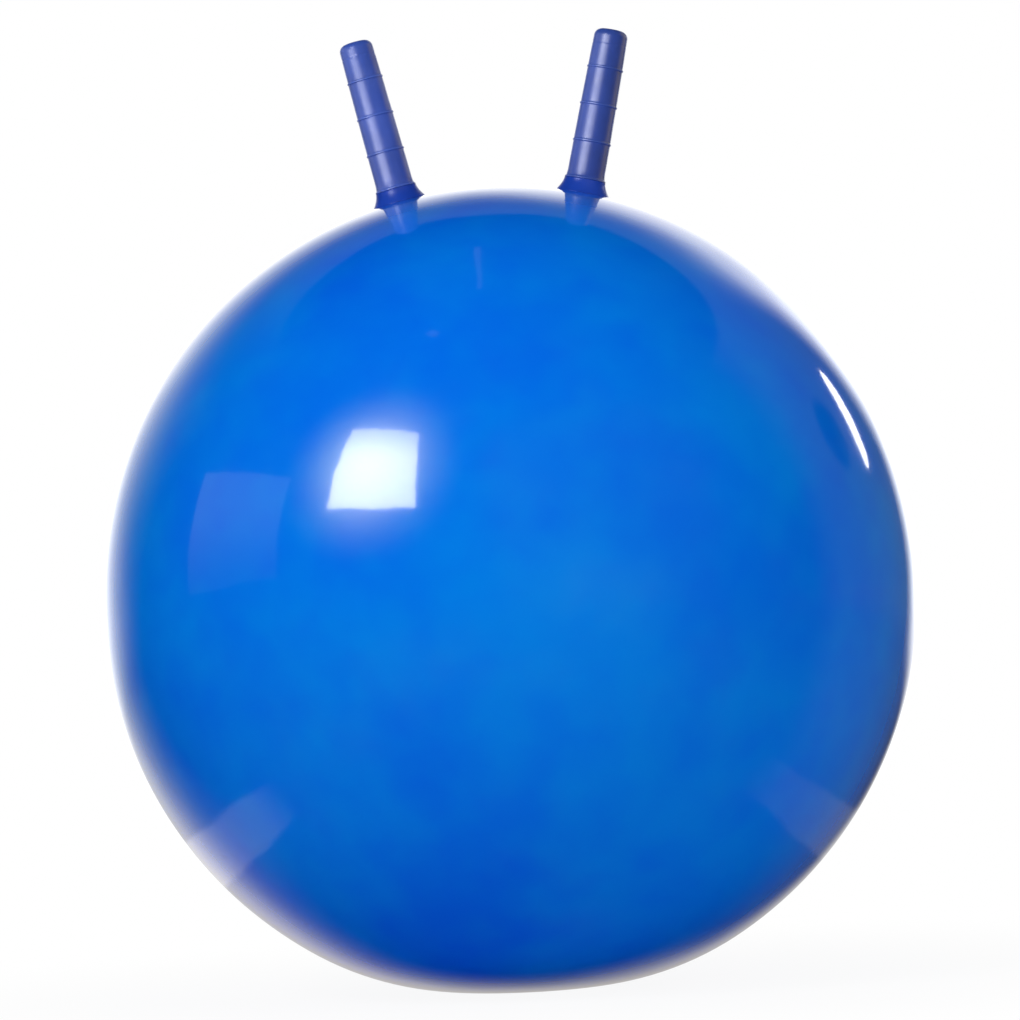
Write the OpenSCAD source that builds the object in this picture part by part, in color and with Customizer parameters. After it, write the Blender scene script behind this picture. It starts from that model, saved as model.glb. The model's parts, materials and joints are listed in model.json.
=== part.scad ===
// Hopper ball: a hollow inflated skin that rests on a small flat patch, with two ribbed stick handles on
// flared roots and a push-in air valve at the back. Millimetres. +Z is up, the handles stand side by side
// along X, the valve faces +Y, and the origin is on the ground under the middle of the ball.

/* [Ball] */
// Outside radius of the inflated skin
ball_r = 250; // [200:5:325]
// Thickness of the skin
skin_t = 1; // [0.8:0.1:2]
// How far the ball sinks down on its contact patch
sag = 9; // [6:0.5:14]
// Radius of the flat contact patch
contact_r = 32; // [20:1:45]

/* [Handle roots] */
// Lean of each handle from the vertical, in degrees
handle_lean = 13; // [8:0.5:22]
// Height of a root above the skin
root_h = 8.2; // [6:0.2:14]
// How far the flare of a root spreads at its toe
flare_out = 4; // [2:0.5:8]
// Sweep of the flare: 1 is a plain cone, more is hollower
flare_sweep = 1.4; // [1:0.1:2.5]
// Thickness of the flare's toe on the skin
toe_t = 0.4; // [0.3:0.1:1]
// Length of the spigot that a grip is pushed onto
spigot_len = 12; // [8:1:18]
// Wall of the spigot
spigot_wall = 1.8; // [1.2:0.1:2.5]

/* [Handle grips] */
// Diameter of a grip above its flared foot
grip_foot_d = 22.9; // [20:0.1:28]
// Diameter of a grip below its rounded tip
grip_tip_d = 20.3; // [17:0.1:26]
// Swell of a grip midway between foot and tip, on the radius
grip_belly = 0.2; // [0:0.05:0.6]
// Wall of a grip
grip_wall = 2.6; // [2:0.1:3.5]
// Thickness of the closed tip
tip_wall = 3; // [2:0.1:5]
// Radius of the tip's rounded edge
tip_round = 4.5; // [2:0.1:6]
// Spread of the flared foot, on the radius
foot_flare = 0.8; // [0.2:0.1:2]
// Height of the flared foot
foot_flare_h = 6; // [3:0.5:12]

/* [Grip ribs] */
// Ribs on each grip, the lowest at its foot
rib_count = 4; // [2:1:6]
// Distance from rib to rib
rib_pitch = 23; // [18:0.5:30]
// Width of a rib
rib_w = 1.6; // [1:0.1:2.5]
// How far a rib stands out
rib_out = 0.5; // [0.2:0.05:1]
// Distance from the highest rib to the tip
tip_len = 24; // [15:0.5:35]

/* [Valve] */
// Diameter of the plug's head
head_d = 16; // [13:0.5:20]
// Thickness of the plug's head
head_t = 2.2; // [1.6:0.1:3]
// Depth of the plug's head below the skin's outside
head_drop = 0.5; // [0.3:0.1:1.5]
// Rounding of the plug's edges
plug_edge = 0.6; // [0.3:0.1:0.8]
// Diameter of the stem under the head
stem_d = 8.6; // [7:0.1:10]
// Diameter of the stem at its nose
nose_d = 7.2; // [5:0.1:7.5]
// Length of the stem
stem_len = 15; // [10:0.5:20]
// How far the nose stands out of the neck, inside the ball
nose_out = 2; // [1:0.5:4]
// Wall around the plug's head
collar_wall = 3; // [2:0.1:5]
// Floor under the plug's head
floor_t = 1.8; // [1.2:0.1:3]
// Wall of the neck around the stem
neck_wall = 2.5; // [1.5:0.1:4]
// Spread of the flange past the collar, under the skin
flange_out = 8; // [4:0.5:14]
// Thickness of the flange
flange_t = 2; // [1.2:0.1:3]
// Diameter of the notch for a fingernail beside the head
notch_d = 4; // [3:0.1:5]

/* [Fits] */
// Glue line between pieces that are bonded
bond_gap = 0.05; // [0.02:0.01:0.2]
// Radial clearance of a grip on its spigot
socket_gap = 0.1; // [0.05:0.05:0.3]
// Room left above the spigot's end in the grip
socket_spare = 1; // [0.5:0.5:3]
// Radial clearance of the plug in its seat
plug_gap = 0.1; // [0.05:0.05:0.3]

/* [Hidden] */
$fn = 240;

LEFT = -1;
RIGHT = 1;
SKIN_BLUE = [0.02, 0.40, 0.85];
HANDLE_BLUE = [0.27, 0.37, 0.68];
PLUG_WHITE = [0.93, 0.93, 0.90];

// Steps along the curved outlines
foot_steps = 12;
flare_steps = 8;
taper_steps = 5;
rib_steps = 4;
tip_steps = 8;
// A cut runs this far past the faces that it opens
overrun = 3;

// The ball is a sphere down to the blend angle, counted from straight below its centre. From there a
// smaller arc runs down to the flat patch and meets both without a crease.
centre_h = ball_r - sag;
blend_r = (2 * ball_r - sag - contact_r * contact_r / sag) / 2;
blend_angle = atan2(contact_r, centre_h - blend_r);

// Along a handle, heights are counted from the ball's centre
foot_z = ball_r + root_h;
first_rib_z = foot_z + rib_w / 2;
last_rib_z = first_rib_z + (rib_count - 1) * rib_pitch;
tip_z = last_rib_z + tip_len;

foot_r = grip_foot_d / 2;
tip_r = grip_tip_d / 2;
socket_r = foot_r - grip_wall;
spigot_r = socket_r - socket_gap;
root_bore_r = spigot_r - spigot_wall;
root_top_r = foot_r + foot_flare + rib_out;
toe_r = root_top_r + flare_out;
toe_z = sqrt(pow(ball_r + bond_gap, 2) - toe_r * toe_r) + toe_t;

// Along the valve too
head_r = head_d / 2;
recess_r = head_r + plug_gap;
floor_z = ball_r - head_drop - head_t;
nose_z = floor_z - stem_len;
neck_z = nose_z + nose_out;
collar_r = recess_r + collar_wall;
neck_r = stem_d / 2 + plug_gap + neck_wall;
flange_r = collar_r + flange_out;
flange_top_r = ball_r - skin_t - bond_gap;

// Radius of a grip at height z: a taper with a slight belly, and a foot that flares
function grip_r(z) =
    let (u = (z - foot_z) / (tip_z - foot_z), v = max(0, 1 - (z - foot_z) / foot_flare_h))
    foot_r + (tip_r - foot_r) * u + grip_belly * 4 * u * (1 - u) + foot_flare * v * v;

// Radius of a root's flare at height z
function flare_r(z) = root_top_r + flare_out * pow((foot_z - z) / (foot_z - toe_z), flare_sweep);

// Radius of the plug's stem at height z
function stem_r(z) = (nose_d + (stem_d - nose_d) * (z - nose_z) / stem_len) / 2;

// Outline of one rib, from its lower edge to its upper one
function rib_points(z) = [for (k = [-rib_steps : rib_steps])
    let (at = z + k * rib_w / 2 / rib_steps) [grip_r(at) + rib_out * (1 - pow(k / rib_steps, 2)), at]];

// Outline of the plain stretch between two heights, without its ends
function plain_points(low, high) = [for (k = [1 : taper_steps - 1])
    let (at = low + (high - low) * k / taper_steps) [grip_r(at), at]];

// Outline of a rib and of the plain stretch above it, up to the next rib or to the tip's rounding
function rib_and_stretch(i) =
    let (z = first_rib_z + i * rib_pitch, low = z + rib_w / 2)
    let (high = i < rib_count - 1 ? z + rib_pitch - rib_w / 2 : tip_z - tip_round)
    concat(rib_points(z), plain_points(low, high));

// Rounded edge of the tip
function tip_points() =
    let (z = tip_z - tip_round, r = grip_r(z) - tip_round)
    [for (k = [0 : tip_steps])
        let (a = 90 * k / tip_steps) [r + tip_round * cos(a), z + tip_round * sin(a)]];

// A bowl around the whole ball, a given depth inside its surface. Its bottom is the flat patch and the
// smaller arc, whose last step runs straight on and leaves the sphere at the blend angle.
module ball_bowl(depth) {
    r = blend_r - depth;
    arc = [for (k = [0 : foot_steps - 1])
        let (a = blend_angle * k / foot_steps) [contact_r + r * sin(a), blend_r - r * cos(a)]];
    last = arc[foot_steps - 1];
    wide = 2 * ball_r;
    rim_z = last.y + (wide - last.x) * tan(blend_angle * (foot_steps - 0.5) / foot_steps);
    top_z = rim_z + wide;
    rotate_extrude() polygon(concat([[0, depth]], arc, [[wide, rim_z], [wide, top_z], [0, top_z]]));
}

// The whole ball, a given depth inside its surface
module ball_form(depth) {
    intersection() {
        translate([0, 0, centre_h]) sphere(ball_r - depth);
        ball_bowl(depth);
    }
}

// Puts a shape that stands on the ball's centre onto a handle's axis
module on_handle(side) {
    translate([0, 0, centre_h]) rotate([0, side * handle_lean, 0]) children();
}

// Puts a shape that stands on the ball's centre onto the valve's axis
module on_valve() {
    translate([0, 0, centre_h]) rotate([-90, 0, 0]) children();
}

// A round cut through the skin
module skin_hole(r) {
    translate([0, 0, ball_r - skin_t - overrun]) cylinder(r = r, h = skin_t + 2 * overrun);
}

module ball_shell() {
    color(SKIN_BLUE) difference() {
        ball_form(0);
        ball_form(skin_t);
        for (side = [LEFT, RIGHT]) on_handle(side) skin_hole(root_bore_r);
        on_valve() skin_hole(collar_r + bond_gap);
    }
}

// A flared neck on the skin, with the spigot that carries the grip
module handle_root(side) {
    flare = [for (k = [0 : flare_steps])
        let (z = toe_z + (foot_z - toe_z) * k / flare_steps) [flare_r(z), z]];
    below = toe_z - toe_t - overrun;
    spigot_z = foot_z + spigot_len;
    color(HANDLE_BLUE) on_handle(side) difference() {
        rotate_extrude() polygon(concat([[root_bore_r, below], [toe_r, below]], flare,
            [[spigot_r, foot_z], [spigot_r, spigot_z], [root_bore_r, spigot_z]]));
        sphere(ball_r + bond_gap);
    }
}

// A hollow ribbed stick, closed at its tip, with a socket for the spigot in its foot
module handle_grip(side) {
    outside = concat([for (i = [0 : rib_count - 1]) each rib_and_stretch(i)], tip_points());
    socket_z = foot_z + spigot_len + socket_spare;
    roof_z = tip_z - tip_wall;
    roof_r = tip_r - grip_wall;
    color(HANDLE_BLUE) on_handle(side) rotate_extrude() polygon(concat(outside,
        [[0, tip_z], [0, roof_z], [roof_r, roof_z], [socket_r, socket_z], [socket_r, foot_z]]));
}

// A flange under the skin, a collar through it with a recess for the plug's head, and a neck for its stem
module valve_seat() {
    color(SKIN_BLUE) on_valve() difference() {
        union() {
            difference() {
                intersection() {
                    sphere(flange_top_r);
                    translate([0, 0, neck_z]) cylinder(r = flange_r, h = ball_r - neck_z);
                }
                sphere(flange_top_r - flange_t);
            }
            intersection() {
                sphere(ball_r);
                translate([0, 0, floor_z - floor_t]) cylinder(r = collar_r, h = ball_r);
            }
            translate([0, 0, neck_z]) cylinder(r = neck_r, h = floor_z - neck_z);
        }
        translate([0, 0, floor_z]) cylinder(r = recess_r, h = ball_r);
        translate([0, -recess_r, floor_z]) cylinder(d = notch_d, h = ball_r);
        translate([0, 0, neck_z - overrun]) cylinder(h = floor_z - neck_z + 2 * overrun,
            r1 = stem_r(neck_z - overrun) + plug_gap, r2 = stem_r(floor_z + overrun) + plug_gap);
    }
}

// A flat round head on a tapered stem
module valve_plug() {
    top_z = floor_z + head_t;
    nose_edge_z = nose_z + plug_edge;
    color(PLUG_WHITE) on_valve() rotate_extrude() polygon([
        [0, nose_z], [nose_d / 2 - plug_edge, nose_z], [stem_r(nose_edge_z), nose_edge_z],
        [stem_d / 2, floor_z], [head_r, floor_z], [head_r, top_z - plug_edge],
        [head_r - plug_edge, top_z], [0, top_z]]);
}

ball_shell();
handle_root(LEFT);  // left_handle_root
handle_root(RIGHT);  // right_handle_root
handle_grip(LEFT);  // left_handle_grip
handle_grip(RIGHT);  // right_handle_grip
valve_seat();
valve_plug();
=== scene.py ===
# %% [markdown]
# # A hopper ball
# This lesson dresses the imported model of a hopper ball: a big inflated PVC ball that a child sits on, with
# two ribbed stick handles to hold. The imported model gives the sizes, the bodies and the joints. Here each
# soft piece gets its finished surface, and the studio gets its lamps and camera. Everything is in metres,
# with +Z up, the handles side by side along X, and the front towards -Y.

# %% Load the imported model
import json
import math

import bmesh
import bpy
from mathutils import Matrix, Vector

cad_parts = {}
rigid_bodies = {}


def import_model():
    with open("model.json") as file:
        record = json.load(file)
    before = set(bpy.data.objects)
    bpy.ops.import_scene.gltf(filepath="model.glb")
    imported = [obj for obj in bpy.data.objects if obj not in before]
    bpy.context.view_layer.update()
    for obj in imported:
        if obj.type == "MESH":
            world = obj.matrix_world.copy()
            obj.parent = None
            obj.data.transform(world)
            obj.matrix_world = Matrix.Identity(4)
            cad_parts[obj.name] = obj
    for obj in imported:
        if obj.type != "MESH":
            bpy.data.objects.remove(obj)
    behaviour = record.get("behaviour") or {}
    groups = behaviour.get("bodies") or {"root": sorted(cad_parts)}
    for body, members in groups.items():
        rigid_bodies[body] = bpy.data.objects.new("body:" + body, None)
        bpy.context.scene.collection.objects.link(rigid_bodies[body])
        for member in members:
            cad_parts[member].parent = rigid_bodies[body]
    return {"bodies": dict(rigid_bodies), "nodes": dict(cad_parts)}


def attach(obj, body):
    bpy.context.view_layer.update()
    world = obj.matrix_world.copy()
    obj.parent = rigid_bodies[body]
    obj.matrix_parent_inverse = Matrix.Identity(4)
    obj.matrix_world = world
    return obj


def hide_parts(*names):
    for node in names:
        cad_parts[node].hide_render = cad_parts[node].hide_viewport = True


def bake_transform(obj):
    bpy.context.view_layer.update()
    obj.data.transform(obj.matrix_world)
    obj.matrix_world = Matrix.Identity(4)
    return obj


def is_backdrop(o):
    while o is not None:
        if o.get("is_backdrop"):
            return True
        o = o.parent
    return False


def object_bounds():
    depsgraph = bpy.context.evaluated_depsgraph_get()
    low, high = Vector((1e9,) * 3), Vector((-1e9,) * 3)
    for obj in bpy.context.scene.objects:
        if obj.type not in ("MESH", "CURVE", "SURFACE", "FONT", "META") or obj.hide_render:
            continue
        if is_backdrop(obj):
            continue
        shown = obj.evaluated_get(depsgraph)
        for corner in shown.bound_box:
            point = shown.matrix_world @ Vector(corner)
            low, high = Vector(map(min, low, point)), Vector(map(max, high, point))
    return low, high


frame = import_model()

cad_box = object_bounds()
print("bodies:", sorted(frame["bodies"]), "nodes:", sorted(frame["nodes"]))

# %% [markdown]
# ## Sizes
# The finished pieces sit exactly where the solids are, so the lesson repeats the few sizes that they share.
# The ball is a sphere with a small flat patch where it stands, and a smaller arc rounds the patch into the
# sphere. Heights along a handle are counted from the ball's centre.

# %% Sizes of the ball
MM = 0.001
BALL_R = 250 * MM
SAG = 9 * MM
PATCH_R = 32 * MM
SKIN_T = 1 * MM
VALVE_HOLE_R = 11.15 * MM
CENTRE_H = BALL_R - SAG
CENTRE = Vector((0, 0, CENTRE_H))
FOOT_ARC_R = (2 * BALL_R - SAG - PATCH_R ** 2 / SAG) / 2
print(f"the foot's arc has a radius of {FOOT_ARC_R:.4f} m")

# %% Sizes of the handles
SIDES = {"left": -1, "right": 1}
LEAN = math.radians(13)
ROOT_H = 8.2 * MM
FOOT_Z = BALL_R + ROOT_H
FOOT_R = 22.9 / 2 * MM
FOOT_FLARE = 0.8 * MM
RIB_W = 1.6 * MM
RIB_OUT = 0.5 * MM
RIB_PITCH = 23 * MM
RIB_COUNT = 4
FIRST_RIB_Z = FOOT_Z + RIB_W / 2
TIP_LEN = 24 * MM
TIP_Z = FIRST_RIB_Z + (RIB_COUNT - 1) * RIB_PITCH + TIP_LEN
TIP_R = 20.3 / 2 * MM
print(f"the handles' tips are {TIP_Z - BALL_R:.4f} m above the skin")

# %% [markdown]
# ## Formulas as nodes
# Materials and Geometry Nodes are both built from nodes. A formula could be built one Math node at a time,
# but then it is hard to read. Here a `Number` stands for the output of a node, and Python's own signs on it,
# such as + and *, put the Math nodes in its tree, so the lesson writes a formula as a formula.

# %% Numbers in a node tree
class Number:
    """A number that a node tree works out."""

    def __init__(self, tree, socket):
        self.tree = tree
        self.socket = socket

    def calc(self, operation, *others):
        """The number that a Math node makes of this one and the others."""
        values = dict(enumerate((self, *others)))
        node = add(self.tree, "ShaderNodeMath", {"operation": operation}, values)
        return Number(self.tree, node.outputs[0])

    def __add__(self, other):
        return self.calc("ADD", other)

    def __radd__(self, other):
        return self.calc("ADD", other)

    def __sub__(self, other):
        return self.calc("SUBTRACT", other)

    def __rsub__(self, other):
        return self.calc("MULTIPLY_ADD", -1.0, other)

    def __mul__(self, other):
        return self.calc("MULTIPLY", other)

    def __truediv__(self, other):
        return self.calc("DIVIDE", other)

    def __pow__(self, power):
        return self.calc("POWER", power)

    def __lt__(self, other):
        return self.calc("LESS_THAN", other)

    def __gt__(self, other):
        return self.calc("GREATER_THAN", other)

    def __abs__(self):
        return self.calc("ABSOLUTE")

    def __round__(self):
        return self.calc("ROUND")

    def at_least(self, low):
        return self.calc("MAXIMUM", low)

    def at_most(self, high):
        return self.calc("MINIMUM", high)

    def sine(self):
        return self.calc("SINE")

    def cosine(self):
        return self.calc("COSINE")

    def root(self):
        return self.calc("SQRT")


# %% [markdown]
# ## Helpers for node trees
# `add` puts a node in a tree and fills its sockets, with plain values or with the outputs of other nodes. The
# rest are short names for nodes that come back often: a smooth step from one range to another, a choice
# between two numbers, and a vector that is taken apart or put together.

# %% Node helpers
def fill(tree, socket, value):
    """Gives a socket a plain value, or links it to the output of another node."""
    if isinstance(value, Number):
        value = value.socket
    if isinstance(value, bpy.types.NodeSocket):
        tree.links.new(value, socket)
    else:
        socket.default_value = value


def set_inputs(tree, node, inputs):
    """Fills the inputs of a node, which go by name or by number."""
    for key, value in inputs.items():
        fill(tree, node.inputs[key], value)


def add(tree, kind, settings=None, inputs=None):
    """Adds a node, sets its properties and fills its inputs."""
    node = tree.nodes.new(kind)
    for key, value in (settings or {}).items():
        setattr(node, key, value)
    set_inputs(tree, node, inputs or {})
    return node


def ramp(number, low, high, to_low=0.0, to_high=1.0):
    """Eases a number from one range to another with a smooth step."""
    inputs = {"Value": number, "From Min": low, "From Max": high, "To Min": to_low, "To Max": to_high}
    node = add(number.tree, "ShaderNodeMapRange", {"interpolation_type": "SMOOTHSTEP"}, inputs)
    return Number(number.tree, node.outputs[0])


def pick(choice, if_no, if_yes):
    """One of two numbers, for a choice of 0 or 1; a Mix node takes numbers at its inputs 0, 2 and 3."""
    node = add(choice.tree, "ShaderNodeMix", {"data_type": "FLOAT"}, {0: choice, 2: if_no, 3: if_yes})
    return Number(choice.tree, node.outputs[0])


def split_xyz(tree, vector):
    """The three numbers of a vector."""
    node = add(tree, "ShaderNodeSeparateXYZ", None, {0: vector})
    return [Number(tree, socket) for socket in node.outputs]


def join_xyz(tree, x=0.0, y=0.0, z=0.0):
    """A vector of three numbers."""
    return add(tree, "ShaderNodeCombineXYZ", None, {"X": x, "Y": y, "Z": z}).outputs[0]


# %% [markdown]
# ## Helpers for noise and colour
# Moulded PVC is never one flat colour. Noise on Object coordinates gives the slow clouds of its pigment, the
# fine ripple of its surface and the smudges of handling, each at its own scale. Object coordinates keep the
# pattern on the piece when it moves.

# %% Texture helpers
def place_on_object(tree):
    """The object's own coordinates, in metres."""
    return add(tree, "ShaderNodeTexCoord").outputs["Object"]


def noise(tree, scale, detail=2.0, roughness=0.5):
    """Noise from 0 to 1 on the object's own coordinates; scale is in bumps per metre."""
    inputs = {"Vector": place_on_object(tree), "Scale": scale, "Detail": detail, "Roughness": roughness}
    return Number(tree, add(tree, "ShaderNodeTexNoise", None, inputs).outputs["Fac"])


def blend_colours(tree, share, first, second):
    """A mix of two colours; a Mix node takes colours at its inputs 6 and 7 and gives one at its output 2."""
    inputs = {0: share, 6: first, 7: second}
    return add(tree, "ShaderNodeMix", {"data_type": "RGBA"}, inputs).outputs[2]


def bump(number, height, below=None):
    """A bump that follows a number, of that height in metres, on top of the bump below it."""
    inputs = {"Strength": 1.0, "Distance": height, "Height": number}
    if below is not None:
        inputs["Normal"] = below
    return add(number.tree, "ShaderNodeBump", None, inputs).outputs[0]


def new_material(name):
    """An empty material with a Principled shader on its output."""
    material = bpy.data.materials.new(name)
    material.use_nodes = True
    tree = material.node_tree
    tree.nodes.clear()
    shader = add(tree, "ShaderNodeBsdfPrincipled")
    add(tree, "ShaderNodeOutputMaterial", None, {"Surface": shader.outputs[0]})
    return material, tree, shader


# %% [markdown]
# ## The ball's skin: glossy blue PVC
# The skin is a thin sheet of pigmented PVC, so it looks a little cloudy where it is thicker or thinner.
# Its colour is also painted paler round its middle and darker towards its foot and top, as painted shade. It
# has a
# glassy outer film over a softer sheen: a clear coat gives the sharp reflections, and the rougher base below
# it gives the glow around them. The surface ripples very slightly, which bends the edges of the reflections.

# %% Skin material
DEEP_BLUE = (0.0, 0.082, 0.72, 1)
PALE_BLUE = (0.0, 0.198, 0.73, 1)
CLOUD_SHARE = 0.42
MOTTLE_SHARE = 0.13
# painted shade: how much paler the colour is round the ball's middle than towards its foot and top
PAINTED_SHADE_SHARE = 0.45
PAINTED_SHADE_AT_FOOT = (-0.04, 0.2)
PAINTED_SHADE_AT_TOP = (0.49, 0.33)
LEAST_AT_TOP = 0.5
skin_pvc, tree, shader = new_material("skin_pvc")
clouds = ramp(noise(tree, 7.0, detail=3.0, roughness=0.55), 0.36, 0.66)
mottle = ramp(noise(tree, 34.0), 0.3, 0.7)
level = split_xyz(tree, place_on_object(tree))[2]
# painted shade: paler round the middle of the ball, darker towards the foot and, less, towards the top
painted_shade_belt = ramp(level, *PAINTED_SHADE_AT_FOOT) * ramp(level, *PAINTED_SHADE_AT_TOP, to_low=LEAST_AT_TOP)
tone_and_painted_shade = clouds * CLOUD_SHARE + mottle * MOTTLE_SHARE + painted_shade_belt * PAINTED_SHADE_SHARE
slow_wave = bump(noise(tree, 11.0, detail=1.0), 0.9 * MM)
ripple = bump(noise(tree, 60.0), 0.05 * MM, slow_wave)
orange_peel = bump(noise(tree, 190.0), 0.012 * MM, ripple)
smudges = noise(tree, 18.0, detail=5.0, roughness=0.6)
set_inputs(tree, shader, {
    "Base Color": blend_colours(tree, tone_and_painted_shade, DEEP_BLUE, PALE_BLUE),
    "Roughness": ramp(smudges, 0.45, 0.75, to_low=0.09, to_high=0.14),
    "Normal": orange_peel,
    "Specular IOR Level": 0.5,
    "Coat Weight": 1.0,
    "Coat Roughness": 0.045,
    "Coat Normal": orange_peel})
print("made", skin_pvc.name)

# %% [markdown]
# ## The handles: satin violet-blue PVC
# The handles are thicker and more opaque than the skin, and their colour is a little more violet. Their sheen
# is satin, from a mould with a fine texture. The crests of the ribs are a paler colour than the hollows
# beside them, so the colour reads a rib attribute that the grips carry. The roots are thinner than the grips,
# so their colour is nearer to the skin's.

# %% Handle materials
CREST_SHARE = 0.5


def satin_pvc(name, darker, lighter, crest):
    """Satin PVC with cloudy pigment and paler crests."""
    material, tree, shader = new_material(name)
    clouds = ramp(noise(tree, 45.0, detail=3.0), 0.3, 0.7)
    pigment = blend_colours(tree, clouds, darker, lighter)
    rib = Number(tree, add(tree, "ShaderNodeAttribute", {"attribute_name": "rib"}).outputs["Fac"])
    # the crests of the ribs are given a paler colour
    paler_crests = ramp(rib, 0.6, 1.0) * CREST_SHARE
    waviness = bump(noise(tree, 60.0, detail=1.0), 0.04 * MM)
    smudges = noise(tree, 70.0, detail=4.0, roughness=0.6)
    set_inputs(tree, shader, {
        "Base Color": blend_colours(tree, paler_crests, pigment, crest),
        "Roughness": ramp(smudges, 0.35, 0.7, to_low=0.30, to_high=0.38),
        "Normal": bump(noise(tree, 900.0), 0.01 * MM, waviness)})
    print("made", name)
    return material


handle_pvc = satin_pvc("handle_pvc", darker=(0.027, 0.065, 0.325, 1), lighter=(0.033, 0.078, 0.383, 1),
                       crest=(0.06, 0.12, 0.46, 1))
root_pvc = satin_pvc("root_pvc", darker=(0.004, 0.036, 0.310, 1), lighter=(0.006, 0.046, 0.370, 1),
                     crest=(0.02, 0.07, 0.42, 1))

# %% [markdown]
# ## The valve and its plug
# The valve seat is moulded from the same PVC as the skin but is thicker, so it is darker and less glassy. The
# plug is plain white plastic, with the faint dirt that gathers on a part that fingers pull.

# %% Valve seat material
VALVE_DARK = (0.002, 0.10, 0.50, 1)
VALVE_LIGHT = (0.006, 0.14, 0.60, 1)
valve_pvc, tree, shader = new_material("valve_pvc")
clouds = ramp(noise(tree, 120.0, detail=3.0), 0.3, 0.7)
smudges = noise(tree, 300.0, detail=3.0)
set_inputs(tree, shader, {
    "Base Color": blend_colours(tree, clouds, VALVE_DARK, VALVE_LIGHT),
    "Roughness": ramp(smudges, 0.3, 0.7, to_low=0.24, to_high=0.36),
    "Normal": bump(noise(tree, 700.0), 0.01 * MM)})
print("made", valve_pvc.name)

# %% Plug material
CLEAN_WHITE = (0.84, 0.84, 0.80, 1)
DIRTY_WHITE = (0.70, 0.69, 0.64, 1)
plug_plastic, tree, shader = new_material("plug_plastic")
dirt = ramp(noise(tree, 260.0, detail=4.0, roughness=0.6), 0.42, 0.72)
set_inputs(tree, shader, {
    "Base Color": blend_colours(tree, dirt, CLEAN_WHITE, DIRTY_WHITE),
    "Roughness": ramp(dirt, 0.0, 1.0, to_low=0.34, to_high=0.5),
    "Normal": bump(noise(tree, 1100.0), 0.012 * MM)})
print("made", plug_plastic.name)

# %% Dress the valve
for node, finish in (("valve_seat", valve_pvc), ("valve_plug", plug_plastic)):
    mesh = frame["nodes"][node].data
    mesh.materials.clear()
    mesh.materials.append(finish)
    print("dressed", node)

# %% [markdown]
# ## Helpers for Geometry Nodes
# A Geometry Nodes tree is a recipe with named inputs. `recipe` starts one, `serve` ends it, and `cook` runs
# it: it puts the tree on an empty mesh, sets the inputs by their identifiers, and keeps the result as a plain
# mesh, with no modifier left.

# %% Recipe helpers
def recipe(name, numbers):
    """A new tree with a number input for each name, a material input and a geometry output."""
    tree = bpy.data.node_groups.new(name, "GeometryNodeTree")
    for label, value in numbers.items():
        kind = "NodeSocketInt" if isinstance(value, int) else "NodeSocketFloat"
        tree.interface.new_socket(label, in_out="INPUT", socket_type=kind).default_value = value
    tree.interface.new_socket("Finish", in_out="INPUT", socket_type="NodeSocketMaterial")
    tree.interface.new_socket("Geometry", in_out="OUTPUT", socket_type="NodeSocketGeometry")
    sockets = add(tree, "NodeGroupInput").outputs
    given = {label: Number(tree, sockets[label]) for label in numbers}
    return tree, given, sockets["Finish"]


def tell(tree, step):
    """Prints how far a tree has come."""
    print(f"{tree.name}: {step} made, {len(tree.nodes)} nodes so far")


def serve(tree, geometry, finish):
    """Ends a tree: instances made real, smooth faces, the finish, the output."""
    real = add(tree, "GeometryNodeRealizeInstances", None, {"Geometry": geometry}).outputs[0]
    smooth = add(tree, "GeometryNodeSetShadeSmooth", None, {"Geometry": real}).outputs[0]
    done = add(tree, "GeometryNodeSetMaterial", None, {"Geometry": smooth, "Material": finish}).outputs[0]
    add(tree, "NodeGroupOutput", None, {"Geometry": done})


def cook(name, tree, values, wall=None):
    """Runs a tree on an empty mesh and keeps the result as a plain mesh; wall gives it a thickness."""
    pot = bpy.data.objects.new(name + "_pot", bpy.data.meshes.new(name + "_pot"))
    bpy.context.collection.objects.link(pot)
    modifier = pot.modifiers.new("recipe", "NODES")
    modifier.node_group = tree
    for item in tree.interface.items_tree:
        if item.in_out == "INPUT" and item.name in values:
            modifier[item.identifier] = values[item.name]
    if wall:
        solidify = pot.modifiers.new("wall", "SOLIDIFY")
        solidify.thickness = wall
        solidify.offset = -1
    view = bpy.context.evaluated_depsgraph_get()
    mesh = bpy.data.meshes.new_from_object(pot.evaluated_get(view), depsgraph=view)
    mesh.name = name
    mesh.materials.clear()
    mesh.materials.append(values["Finish"])
    mesh.polygons.foreach_set("material_index", [0] * len(mesh.polygons))
    bpy.data.objects.remove(pot)
    return new_piece(name, mesh)


def new_piece(name, mesh):
    """An object at the origin for a finished mesh."""
    piece = bpy.data.objects.new(name, mesh)
    bpy.context.collection.objects.link(piece)
    print(name, len(mesh.vertices), "vertices", len(mesh.polygons), "faces")
    return piece


# %% [markdown]
# ## Strips that are rolled up
# The skin and the grips both start as flat strips. Along a strip's X, from 0 to 1, is one turn around the
# piece, and along its Y is a way along the outline. A formula then gives every point of the strips its place
# on the round form. A stretch that carries fine detail gets a strip of its own, with more rings.

# %% Strip helpers
FULL_TURN = 2 * math.pi
QUARTER_TURN = math.pi / 2
SAME_PLACE = 0.001 * MM


def grid_strip(given, rings, low, high):
    """A flat strip: X runs from 0 to 1 around the piece, and Y from low to high along its outline."""
    tree = given["Around"].tree
    inputs = {"Size X": 1.0, "Size Y": high - low, "Vertices X": given["Around"], "Vertices Y": rings}
    sheet = add(tree, "GeometryNodeMeshGrid", None, inputs).outputs[0]
    middle = join_xyz(tree, x=0.5, y=(low + high) * 0.5)
    return add(tree, "GeometryNodeTransform", None, {"Geometry": sheet, "Translation": middle}).outputs[0]


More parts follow.
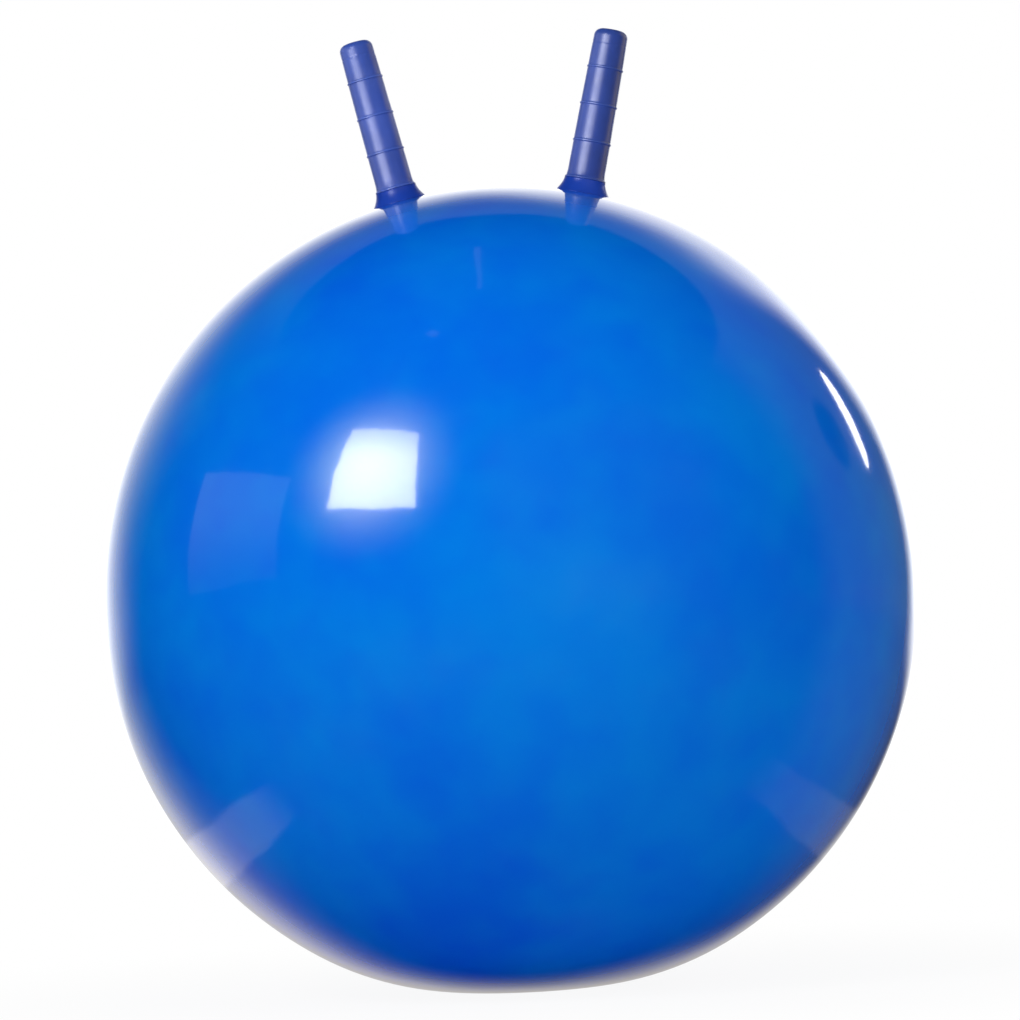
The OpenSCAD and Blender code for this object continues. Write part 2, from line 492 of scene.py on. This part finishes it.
def join(tree, parts):
    """Joins geometries in one."""
    node = add(tree, "GeometryNodeJoinGeometry")
    for part in parts:
        tree.links.new(part, node.inputs[0])
    return node.outputs[0]


def point_place(tree):
    """The three numbers of each point's place."""
    return split_xyz(tree, add(tree, "GeometryNodeInputPosition").outputs[0])


def move_points(tree, geometry, place):
    """Sends every point to a place."""
    inputs = {"Geometry": geometry, "Position": place}
    return add(tree, "GeometryNodeSetPosition", None, inputs).outputs[0]


def close_seams(tree, geometry):
    """Merges the points that have come to lie in one place."""
    inputs = {"Geometry": geometry, "Distance": SAME_PLACE}
    return add(tree, "GeometryNodeMergeByDistance", None, inputs).outputs[0]


# %% [markdown]
# ## The skin follows a rule
# An inflated ball is a sphere, apart from the foot that its own weight presses flat. That rule fits Geometry
# Nodes: flat strips are rolled round the valve's axis into directions, and each direction is pushed out until
# it meets the sphere, the foot's arc or the flat patch. A strip's Y is the angle from the valve's axis. The
# first ring is the hole that the valve sits in, and a fine strip in the middle carries the faint ridge where
# the two halves of the mould met.

# %% Skin strips
tree, given, finish = recipe("inflated_skin", {
    "Radius": BALL_R, "Centre Height": CENTRE_H, "Patch Radius": PATCH_R, "Foot Arc Radius": FOOT_ARC_R,
    "Valve Hole Angle": math.asin(VALVE_HOLE_R / BALL_R), "Valve Rim Angle": 0.05, "Ridge Angle": 0.0068,
    "Ridge Height": 0.25 * MM, "Ridge Half Width": 0.8 * MM, "Around": 225})
hole = given["Valve Hole Angle"]
rim = hole + given["Valve Rim Angle"]
ridge_start = QUARTER_TURN - given["Ridge Angle"]
ridge_end = given["Ridge Angle"] + QUARTER_TURN
strips = join(tree, [
    grid_strip(given, rings=7, low=hole, high=rim),
    grid_strip(given, rings=81, low=rim, high=ridge_start),
    grid_strip(given, rings=13, low=ridge_start, high=ridge_end),
    grid_strip(given, rings=85, low=ridge_end, high=math.pi)])
tell(tree, "strips")

# %% Skin directions
around, angle, _ = point_place(tree)
turn = around * FULL_TURN
x = angle.sine() * turn.cosine()
y = angle.cosine()
z = angle.sine() * turn.sine()
tell(tree, "directions")

# %% [markdown]
# How far the skin is from the ball's centre depends on the direction. `down` and `side` are the direction's
# shares straight down and outwards. The foot's arc is a circle about a point that lies below the centre by
# `drop` and out from the axis by the patch's radius, and a ray meets it where a quadratic equation says. The
# three reaches are then chosen by where the ray points.

# %% Skin reach
LEAST_DOWN = 0.1
radius = given["Radius"]
centre_height = given["Centre Height"]
patch_radius = given["Patch Radius"]
arc_radius = given["Foot Arc Radius"]
down = z * -1.0
side = (1.0 - down * down).at_least(0.0).root()
drop = centre_height - arc_radius
along = side * patch_radius + down * drop
apart = patch_radius ** 2.0 + drop ** 2.0
under_root = along * along - apart + arc_radius ** 2.0
arc_reach = along + under_root.at_least(0.0).root()
flat_reach = centre_height / down.at_least(LEAST_DOWN)
on_flat = side * centre_height < down * patch_radius
on_foot = down > drop / (radius - arc_radius)
reach = pick(on_flat, pick(on_foot, radius, arc_reach), flat_reach)
tell(tree, "reach")

# %% Skin ridge and piece
# The ridge fades out before it comes to the flat patch
RIDGE_EDGE = (1.0, 0.2)
RIDGE_ENDS = (0.985, 0.96)
off_ridge = abs(y) * radius / given["Ridge Half Width"]
ridge = ramp(off_ridge, *RIDGE_EDGE) * given["Ridge Height"] * ramp(down, *RIDGE_ENDS)
reach = reach + ridge
spot = join_xyz(tree, x * reach, y * reach, z * reach + centre_height)
serve(tree, close_seams(tree, move_points(tree, strips, spot)), finish)

ball_skin = cook("ball_skin", tree, {"Finish": skin_pvc}, SKIN_T)
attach(ball_skin, "ball")
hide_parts("ball_shell")

# %% [markdown]
# ## The grips repeat a rib
# A grip is a turned form: an outline spun about the handle's axis. Its ribs repeat, so one strip from a rib
# to the next is made once and set on a row of points as instances. The rings of that strip crowd towards both
# of its ends, where the ribs are.

# %% Grip recipe
tree, given, finish = recipe("ribbed_grip", {
    "Foot Height": FOOT_Z, "Tip Height": TIP_Z, "Foot Radius": FOOT_R, "Tip Radius": TIP_R,
    "Belly": 0.2 * MM, "Foot Flare": FOOT_FLARE, "Flare Height": 6 * MM, "First Rib": FIRST_RIB_Z,
    "Rib Pitch": RIB_PITCH, "Rib Width": RIB_W, "Rib Height": RIB_OUT, "Rib Count": RIB_COUNT,
    "Tip Rounding": 4.5 * MM, "Mould Line": 0.12 * MM, "Cap Line": 0.10 * MM, "Cap Line Drop": 9 * MM,
    "Lean": LEAN, "Centre Height": CENTRE_H, "Around": 129})
foot = given["Foot Height"]
first_rib = given["First Rib"]
pitch = given["Rib Pitch"]
last = given["Rib Count"] - 1.0
last_rib = first_rib + last * pitch
print("a grip has the inputs", ", ".join(given))

# %% Stretches between ribs
CROWDING = 0.135
stretch = grid_strip(given, rings=41, low=0.0, high=pitch)
across, along, _ = point_place(tree)
share = along / pitch
crowded = (share - (share * FULL_TURN).sine() * CROWDING) * pitch
stretch = move_points(tree, stretch, join_xyz(tree, across, crowded))
start = join_xyz(tree, y=first_rib)
step = join_xyz(tree, y=pitch)
row = add(tree, "GeometryNodeMeshLine", None, {"Count": last, "Start Location": start, "Offset": step})
copies = {"Points": row.outputs[0], "Instance": stretch}
repeated = add(tree, "GeometryNodeInstanceOnPoints", None, copies).outputs[0]
repeated = add(tree, "GeometryNodeRealizeInstances", None, {"Geometry": repeated}).outputs[0]
tell(tree, "stretches")

# %% [markdown]
# The other strips go below, above and past the stretches. Along the outline, the formula first follows the
# tapered side with its ribs, then the rounded edge of the tip, and then runs straight in to the axis, at the
# tip and at the foot alike, so the form is closed. The run in is longer than any radius.

# %% Grip strips
RUN_IN = 20 * MM
tip_rounding = given["Tip Rounding"]
side_end = given["Tip Height"] - tip_rounding
edge_end = side_end + tip_rounding * QUARTER_TURN
above = last_rib + given["Rib Width"]
strips = join(tree, [
    grid_strip(given, rings=5, low=foot - RUN_IN, high=foot),
    grid_strip(given, rings=9, low=foot, high=first_rib),
    repeated,
    grid_strip(given, rings=13, low=last_rib, high=above),
    grid_strip(given, rings=61, low=above, high=side_end),
    grid_strip(given, rings=15, low=side_end, high=edge_end),
    grid_strip(given, rings=6, low=edge_end, high=edge_end + RUN_IN)])
tell(tree, "strips")

# %% Grip side
# The bow is 1 half way up the grip and 0 at its foot and its tip
across, along, _ = point_place(tree)
height = along.at_least(foot).at_most(side_end)
rise = height - foot
share = rise / (given["Tip Height"] - foot)
taper = (given["Tip Radius"] - given["Foot Radius"]) * share
bow = share * (1.0 - share) * 4.0
near_foot = (1.0 - rise / given["Flare Height"]).at_least(0.0)
side = given["Foot Radius"] + taper + bow * given["Belly"] + near_foot ** 2.0 * given["Foot Flare"]
tell(tree, "side")

# %% [markdown]
# Three kinds of fine lines lie on the side. The ribs stand out, and each point belongs to the rib that is
# nearest to it. A faint line runs round the grip below its tip, where the mould's cap closed. Two faint lines
# run along it, where the halves of the mould met. Each line is a smooth step of the distance from its middle.

# %% Grip lines
RIB_EDGE = (0.5, 0.22)
CAP_LINE_EDGE = (0.8 * MM, 0.1 * MM)
MOULD_LINE_EDGE = (0.9 * MM, 0.1 * MM)
which = round((height - first_rib) / pitch).at_least(0.0).at_most(last)
off_rib = abs(height - (first_rib + which * pitch)) / given["Rib Width"]
rib = ramp(off_rib, *RIB_EDGE)
off_cap = abs(height - given["Tip Height"] + given["Cap Line Drop"])
cap_line = ramp(off_cap, *CAP_LINE_EDGE)
turn = across * FULL_TURN
off_mould_line = abs(turn.sine()) * given["Foot Radius"]
mould_line = ramp(off_mould_line, *MOULD_LINE_EDGE)
side = side + rib * given["Rib Height"] - cap_line * given["Cap Line"] + mould_line * given["Mould Line"]
tell(tree, "lines")

# %% Grip tip and place
angle = ((along - side_end) / tip_rounding).at_least(0.0).at_most(QUARTER_TURN)
rounding = tip_rounding * (1.0 - angle.cosine())
inwards = (along - edge_end).at_least(0.0) + (foot - along).at_least(0.0)
radius = (side - rounding - inwards).at_least(0.0)
level = height + tip_rounding * angle.sine()
spot = join_xyz(tree, radius * turn.cosine(), radius * turn.sine(), level)
marked = add(tree, "GeometryNodeStoreNamedAttribute", {"data_type": "FLOAT", "domain": "POINT"},
             {"Geometry": strips, "Name": "rib", "Value": rib}).outputs[0]
closed = close_seams(tree, move_points(tree, marked, spot))
lean = add(tree, "FunctionNodeEulerToRotation", None, {0: join_xyz(tree, y=given["Lean"])}).outputs[0]
lift = join_xyz(tree, z=given["Centre Height"])
placed = add(tree, "GeometryNodeTransform", None, {"Geometry": closed, "Rotation": lean, "Translation": lift})
serve(tree, placed.outputs[0], finish)
tell(tree, "tip and place")

# %% Grip pieces
for side_name, sign in SIDES.items():
    grip = cook(side_name + "_ribbed_grip", tree, {"Lean": sign * LEAN, "Finish": handle_pvc})
    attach(grip, side_name + "_grip")
    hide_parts(side_name + "_handle_grip")

# %% [markdown]
# ## The roots
# Between the skin and each grip is a short flared neck of soft PVC, which bends when the grip is pulled. Here
# it is one fixed piece, not blended between the two bodies.
# The neck is a closed outline spun about the handle's axis, which a short bmesh function does.

# %% Root outline
ROOT_TOP_R = FOOT_R + FOOT_FLARE + RIB_OUT
TOE_R = ROOT_TOP_R + 4 * MM
TOE_T = 0.15 * MM
BORE_R = 6.95 * MM
SKIN_GAP = 0.05 * MM
FLARE_POWER = 1.6
FLARE_STEPS = 24
BOTTOM_STEPS = 8


def skin_height(radius):
    """Height of the skin's outside at a distance from a handle's axis, from the ball's centre."""
    return math.sqrt((BALL_R + SKIN_GAP) ** 2 - radius ** 2)


def root_outline():
    """The closed outline of a root, as (radius, height): up the flare, in, down the bore, out."""
    toe = skin_height(TOE_R) + TOE_T
    flare = []
    for k in range(FLARE_STEPS + 1):
        share = k / FLARE_STEPS
        radius = ROOT_TOP_R + (TOE_R - ROOT_TOP_R) * (1 - share) ** FLARE_POWER
        flare.append((radius, toe + (FOOT_Z - toe) * share))
    bottom = []
    for k in range(BOTTOM_STEPS + 1):
        radius = BORE_R + (TOE_R - BORE_R) * k / BOTTOM_STEPS
        bottom.append((radius, skin_height(radius)))
    return flare + [(BORE_R, FOOT_Z)] + bottom


print("the root's outline has", len(root_outline()), "points")

# %% Root pieces
ROOT_AROUND = 128
BEND_START = BALL_R + 0.4 * MM
BEND_END = FOOT_Z - 0.3 * MM


def spin(name, outline, around, lean, finish):
    """A closed outline spun about a handle's axis."""
    shape = bmesh.new()
    rings = []
    for k in range(around):
        a = FULL_TURN * k / around
        rings.append([shape.verts.new((r * math.cos(a), r * math.sin(a), z)) for r, z in outline])
    for k, ring in enumerate(rings):
        after = rings[(k + 1) % around]
        for i in range(len(outline)):
            j = (i + 1) % len(outline)
            shape.faces.new((ring[i], after[i], after[j], ring[j])).smooth = True
    shape.transform(Matrix.Translation(CENTRE) @ Matrix.Rotation(lean, 4, "Y"))
    bmesh.ops.recalc_face_normals(shape, faces=shape.faces)
    mesh = bpy.data.meshes.new(name)
    shape.to_mesh(mesh)
    shape.free()
    mesh.materials.append(finish)
    return new_piece(name, mesh)


for side_name, sign in SIDES.items():
    axis = Vector((sign * math.sin(LEAN), 0, math.cos(LEAN)))
    root = spin(side_name + "_root_flare", root_outline(), ROOT_AROUND, sign * LEAN, root_pvc)
    side_name + "_grip"
    CENTRE + axis * BEND_START
    CENTRE + axis * BEND_END
    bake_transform(root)
    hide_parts(side_name + "_handle_root")

# %% [markdown]
# ## The camera
# The picture is taken from far away with a long lens, level with the middle of the ball, and the camera is
# rolled by almost three degrees. The aim is set so that the ball's centre falls on its place in the square
# picture, and the lens so that the ball has its size there.

# %% Camera
PICTURE = 1020
BALL_AT = (510.5, 594.5)
BALL_PX = 409
DISTANCE = 3.3
ROLL = math.radians(2.8)
SENSOR_MM = 36
FAR_CLIP = 50
focal_px = BALL_PX * math.sqrt(DISTANCE ** 2 - BALL_R ** 2) / BALL_R
right = Vector((math.cos(ROLL), 0, -math.sin(ROLL)))
up = Vector((math.sin(ROLL), 0, math.cos(ROLL)))
eye = CENTRE + Vector((0, -DISTANCE, 0))
per_px = DISTANCE / focal_px
aim = CENTRE + right * (PICTURE / 2 - BALL_AT[0]) * per_px + up * (BALL_AT[1] - PICTURE / 2) * per_px
back = (eye - aim).normalized()
right = up.cross(back).normalized()
up = back.cross(right)
camera_data = bpy.data.cameras.new("camera")
camera_data.sensor_width = SENSOR_MM
camera_data.lens = focal_px * SENSOR_MM / PICTURE
camera_data.clip_end = FAR_CLIP
camera = bpy.data.objects.new("camera", camera_data)
camera.matrix_world = Matrix.Translation(eye) @ Matrix((right, up, back)).transposed().to_4x4()
bpy.context.collection.objects.link(camera)
bpy.context.scene.camera = camera
print(f"the lens is {camera_data.lens:.1f} mm long")

# %% [markdown]
# ## The room in reflections
# The ball is shiny, so most of what shows on it is the room. The room has a brightly lit backdrop behind the
# ball, a dim wall above and beside it, a warm floor, and nothing in front. Each is a function that gives its
# glow for a direction, so the room is the same wherever the ball stands. A direction is three numbers between
# -1 and 1: x to the right, y away from the camera and z up. Every edge is a smooth step along one of them or
# along a mix of them.

# %% Room
BACKDROP_SLANT = 0.45
LEVEL_LEFT_OF = -0.15
DOORWAY = (0.79, 0.50, 0.35)
JUST_BELOW_LEVEL = -0.01
WHITE = (1, 1, 1, 1)
WARM_WHITE = (1.0, 0.95, 0.91, 1)


def backdrop_glow(x, z):
    """The lit backdrop, which fades to the left and upwards, and whose top slants."""
    slanted = z - x.at_least(LEVEL_LEFT_OF) * BACKDROP_SLANT
    left_edge = ramp(x, -0.83, -0.17)
    right_edge = ramp(x, 0.56, 0.36)
    top_edge = ramp(slanted, 0.67, 0.26) * ramp(z, 0.72, 0.46)
    bottom_edge = ramp(z, -0.13, 0.0)
    brightness = ramp(slanted, 0.30, 0.05, to_low=1.05, to_high=1.9)
    return left_edge * right_edge * top_edge * bottom_edge * brightness


def wall_glow(x, y, z):
    """The dim wall, which fades to the left, with a dark doorway on the right."""
    top_edge = ramp(z, 0.73, 0.71)
    bottom_edge = ramp(z, -0.12, -0.02)
    brightness = ramp(x, -0.7, -0.2, to_low=0.0, to_high=0.08)
    towards_door = x * DOORWAY[0] + y * DOORWAY[1] + z * DOORWAY[2]
    door_edge = ramp(towards_door, 0.996, 0.993)
    return top_edge * bottom_edge * brightness * door_edge


def floor_glow(x, z):
    """The floor, brighter on the left, and the two bands of light that cross it."""
    near_edge = ramp(z, -0.72, -0.30)
    far_edge = ramp(z, 0.0, -0.13)
    left_edge = ramp(x, -0.79, -0.32)
    brightness = ramp(x, 0.33, 0.12, to_low=0.06, to_high=0.5) * ramp(x, 0.1, -0.35, to_low=1.0, to_high=1.4)
    steepness = abs(x / z.at_most(JUST_BELOW_LEVEL))
    band = ramp(steepness, 1.05, 1.09) * ramp(steepness, 1.48, 1.42)
    band_brightness = ramp(x, 0.3, -0.3, to_low=0.09, to_high=0.25) * ramp(z, 0.0, -0.2)
    return near_edge * far_edge * left_edge * brightness + band * band_brightness


def room_glow(tree, direction):
    """The colour and strength of the room in reflections."""
    x, y, z = split_xyz(tree, direction)
    behind = ramp(y, 0.0, 0.3)
    strength = (backdrop_glow(x, z) + wall_glow(x, y, z) + floor_glow(x, z)) * behind
    return blend_colours(tree, ramp(z, -0.05, -0.25), WHITE, WARM_WHITE), strength


# %% [markdown]
# ## The floor
# The floor is a plain pale sheet. To the camera it is white, with a trace of the ball's shadow near the
# ball. To scattered light it is an ordinary pale surface that also glows a little, as a floor under many
# lamps does. Reflections pass it by, because the room already has the floor's share of them.

# %% Floor
FLOOR_R = 30
FLOOR_CORNERS = 96
PALE = (0.85, 0.85, 0.85, 1)
SHADOW_REACH = (0.15, 0.6)
WHITE_NEAR_BALL = 0.93
FLOOR_GLOW = 0.25
bpy.ops.mesh.primitive_circle_add(vertices=FLOOR_CORNERS, radius=FLOOR_R, fill_type="NGON")
floor = bpy.context.object
floor.name = "floor"
floor.visible_glossy = False
floor.visible_transmission = False
floor_white = bpy.data.materials.new("floor_white")
floor_white.use_nodes = True
tree = floor_white.node_tree
tree.nodes.clear()
pale = add(tree, "ShaderNodeBsdfDiffuse", None, {"Color": PALE}).outputs[0]
white = add(tree, "ShaderNodeEmission", None, {"Strength": 1.0}).outputs[0]
length = add(tree, "ShaderNodeVectorMath", {"operation": "LENGTH"}, {0: place_on_object(tree)})
from_ball = Number(tree, length.outputs["Value"])
path = add(tree, "ShaderNodeLightPath").outputs
seen = Number(tree, path["Is Camera Ray"]) * ramp(from_ball, *SHADOW_REACH, to_low=WHITE_NEAR_BALL)
share = Number(tree, path["Is Diffuse Ray"]) * FLOOR_GLOW + seen
mixed = add(tree, "ShaderNodeMixShader", None, {0: share, 1: pale, 2: white}).outputs[0]
add(tree, "ShaderNodeOutputMaterial", None, {"Surface": mixed})
floor.data.materials.append(floor_white)
floor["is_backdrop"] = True
print("laid the floor")

# %% [markdown]
# ## The studio
# The background is white to the camera. In reflections it is the room, and to all other rays it gives an even
# light from every side, so that no side of the part is lost in the dark.

# %% World
EVEN_LIGHT = 0.38
world = bpy.data.worlds.new("studio")
bpy.context.scene.world = world
world.use_nodes = True
tree = world.node_tree
tree.nodes.clear()
path = add(tree, "ShaderNodeLightPath").outputs
tint, glow = room_glow(tree, add(tree, "ShaderNodeTexCoord").outputs["Generated"])
shown = Number(tree, path["Is Glossy Ray"]).at_least(path["Is Transmission Ray"])
strength = shown * glow + path["Is Camera Ray"] + Number(tree, path["Is Diffuse Ray"]) * EVEN_LIGHT
colour = blend_colours(tree, shown, WHITE, tint)
background = add(tree, "ShaderNodeBackground", None, {"Color": colour, "Strength": strength}).outputs[0]
add(tree, "ShaderNodeOutputWorld", None, {"Surface": background})
bpy.context.scene.view_settings.view_transform = "Standard"
print("lit the studio from every side at", EVEN_LIGHT)

# %% [markdown]
# ## Lamps for a glossy ball
# On a glossy ball every lamp shows as a shape, so the size, place and tilt of each are chosen by the mark
# that it leaves. A lamp that should only light the pieces is hidden from reflections, and one that should
# only show is hidden from scattered light. `radiance` is how bright the lamp's face looks, and its power
# follows from that and the area of the face.

# %% Lamp helper
LAMP_DISTANCE = 2.0
FILL_DISTANCE = 3.0


def lamp(name, way, size, radiance, distance=LAMP_DISTANCE, turns=(0, 0, 0), shape="RECTANGLE",
         lights=True, shows=True):
    """A softbox in a direction from the ball's centre, with turns in degrees about its own Z, X and Y."""
    data = bpy.data.lights.new(name, "AREA")
    data.shape = shape
    data.size, data.size_y = size
    area = size[0] * size[1] * (math.pi / 4 if shape == "ELLIPSE" else 1)
    data.energy = radiance * math.pi * area
    away = Vector(way).normalized()
    facing = away.to_track_quat("Z", "Y").to_matrix().to_4x4()
    for angle, axis in zip(turns, "ZXY"):
        facing = facing @ Matrix.Rotation(math.radians(angle), 4, axis)
    lamp_object = bpy.data.objects.new(name, data)
    lamp_object.matrix_world = Matrix.Translation(CENTRE + away * distance) @ facing
    lamp_object.visible_camera = False
    lamp_object.visible_diffuse = lights
    lamp_object.visible_glossy = shows
    bpy.context.collection.objects.link(lamp_object)
    print(f"{name} has {data.energy:.4f} W")
    return lamp_object


# %% [markdown]
# A lamp's face can fade, from one end to the other or from its middle outwards. Light linking lets a lamp
# reach some pieces only, or all but one, as screens and flags do in a studio.

# %% Screens and flags
def lamp_face(lamp_object):
    """A lamp's node tree, and the place on its face as two numbers from 0 to 1, across and upwards."""
    lamp_object.data.use_nodes = True
    tree = lamp_object.data.node_tree
    across, upwards, _ = split_xyz(tree, add(tree, "ShaderNodeNewGeometry").outputs["Parametric"])
    return tree, across, upwards


def fade_upright(lamp_object, dim_end, full_from, least):
    """Fades a lamp's face between two heights, given as shares of its own, to its least strength."""
    tree, _, upwards = lamp_face(lamp_object)
    fade = ramp(upwards, dim_end, full_from, to_low=least)
    fill(tree, tree.nodes["Emission"].inputs["Strength"], fade)


def fade_out(lamp_object):
    """Fades a lamp's face from its middle to nothing at its edge."""
    tree, across, upwards = lamp_face(lamp_object)
    away = ((across - 0.5) ** 2.0 + (upwards - 0.5) ** 2.0).root()
    fade = ramp(away, 0.5, 0.0) ** 2.0
    fill(tree, tree.nodes["Emission"].inputs["Strength"], fade)


def show_only_on(lamp_object, names):
    """Lets a lamp show in the sheen of the named pieces and nowhere else."""
    receivers = bpy.data.collections.new(lamp_object.name + "_receivers")
    for name in names:
        receivers.objects.link(bpy.data.objects[name])
    lamp_object.visible_diffuse = False
    lamp_object.light_linking.receiver_collection = receivers


def flag_off(lamp_object, name):
    """Keeps a lamp's light off one piece."""
    flagged = bpy.data.collections.new(lamp_object.name + "_flagged")
    flagged.objects.link(bpy.data.objects[name])
    flagged.collection_objects[0].light_linking.link_state = "EXCLUDE"
    lamp_object.light_linking.receiver_collection = flagged


# %% [markdown]
# ## The main lamp
# The main lamp is a softbox at the upper left, turned partly away from the ball. It is two lamps, one just
# in front of the other: the one at the back lights the pieces, and the one in front, dimmer towards its top,
# shows as the window on the ball. A wider, dimmer lamp round both fades towards its edge, and draws the glow
# round the window.

# %% Main lamp
KEY_WAY = (-0.512, -0.653, 0.558)
KEY_SIZE = (0.70, 0.93)
KEY_TURNS = (5.6, 41.1, -8.0)
WINDOW_DISTANCE = LAMP_DISTANCE - 30 * MM
WINDOW_SIZE = (0.69, 0.916)
GLOW_WAY = (-0.546, -0.648, 0.538)
GLOW_COLOUR = (1.0, 1.0, 0.4)
lamp("key_softbox", KEY_WAY, KEY_SIZE, radiance=12.0, turns=KEY_TURNS, shows=False)
key_window = lamp("key_window", KEY_WAY, WINDOW_SIZE, radiance=7.6, distance=WINDOW_DISTANCE,
                  turns=KEY_TURNS, lights=False)
fade_upright(key_window, dim_end=1.0, full_from=0.5, least=0.6)
key_glow = lamp("key_glow", GLOW_WAY, size=(2.0, 2.0), radiance=4.3)
key_glow.data.color = GLOW_COLOUR
fade_out(key_glow)
show_only_on(key_glow, ["ball_skin"])

# %% [markdown]
# ## Fills and faint marks
# Two large fills, at the front and at the back, even out the light and have no reflection. The front one is
# flagged off the right grip, which stands in less light than the left one. A pale card and a narrow lamp draw
# the faint shapes at the sides of the ball, and two dim lamps on the ceiling draw those near its top.

# %% Fills
front_fill = lamp("front_fill", (0.45, -0.85, 0.30), size=(3.6, 3.6), radiance=1.0, distance=FILL_DISTANCE,
                  shows=False)
flag_off(front_fill, "right_ribbed_grip")
lamp("back_fill", (0.1, 0.9, 0.45), size=(2.4, 2.4), radiance=1.0, distance=FILL_DISTANCE, shows=False)

# %% Faint marks
left_card = lamp("left_card", (-0.951, -0.155, 0.269), size=(1.15, 0.82), radiance=0.26, turns=(6.8, 0, 0),
                 lights=False)
fade_upright(left_card, dim_end=0.0, full_from=0.75, least=0.2)
lamp("right_lamp", (0.730, 0.594, 0.338), size=(0.16, 0.46), radiance=5.0, turns=(-20.2, 0, 0),
     shape="ELLIPSE", lights=False)
lamp("ceiling_strip", (-0.047, 0.145, 0.988), size=(0.035, 0.66), radiance=0.12, turns=(-18, 0, 0),
     lights=False)
lamp("ceiling_vent", (-0.235, -0.235, 0.945), size=(0.09, 0.06), radiance=0.20, lights=False)

# %% [markdown]
# ## Panels for the grips
# Four panels show only on the grips. A bright one for each gives it its band of light, at the height that its
# lean needs, and two dim ones, of which the right one is warm, lighten the grips' edges.

# %% Grip panels
PLAIN_LIGHT = (1.0, 1.0, 1.0)
WARM_LIGHT = (1.0, 0.75, 0.15)
for name, sides, way, size, radiance, colour in (
        ("left_grip_band", ["left"], (-0.55, -0.83, -0.07), (1.9, 0.92), 13.5, PLAIN_LIGHT),
        ("right_grip_band", ["right"], (-0.55, -0.83, 0.27), (1.9, 0.92), 8.3, PLAIN_LIGHT),
        ("grip_left_edges", list(SIDES), (-1.0, 0.0, 0.2), (2.6, 2.2), 1.1, PLAIN_LIGHT),
        ("grip_right_edges", list(SIDES), (0.95, 0.31, 0.25), (1.3, 2.4), 1.2, WARM_LIGHT)):
    panel = lamp(name, way, size, radiance)
    panel.data.color = colour
    show_only_on(panel, [side_name + "_ribbed_grip" for side_name in sides])

# %% [markdown]
# ## Sizes at the end
# The boxes of the solids and of the finished part are printed side by side.

# %% Sizes of the finished part
visual_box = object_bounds()
sizes = {"cad": [list(corner) for corner in cad_box], "visual": [list(corner) for corner in visual_box]}
print(sizes)
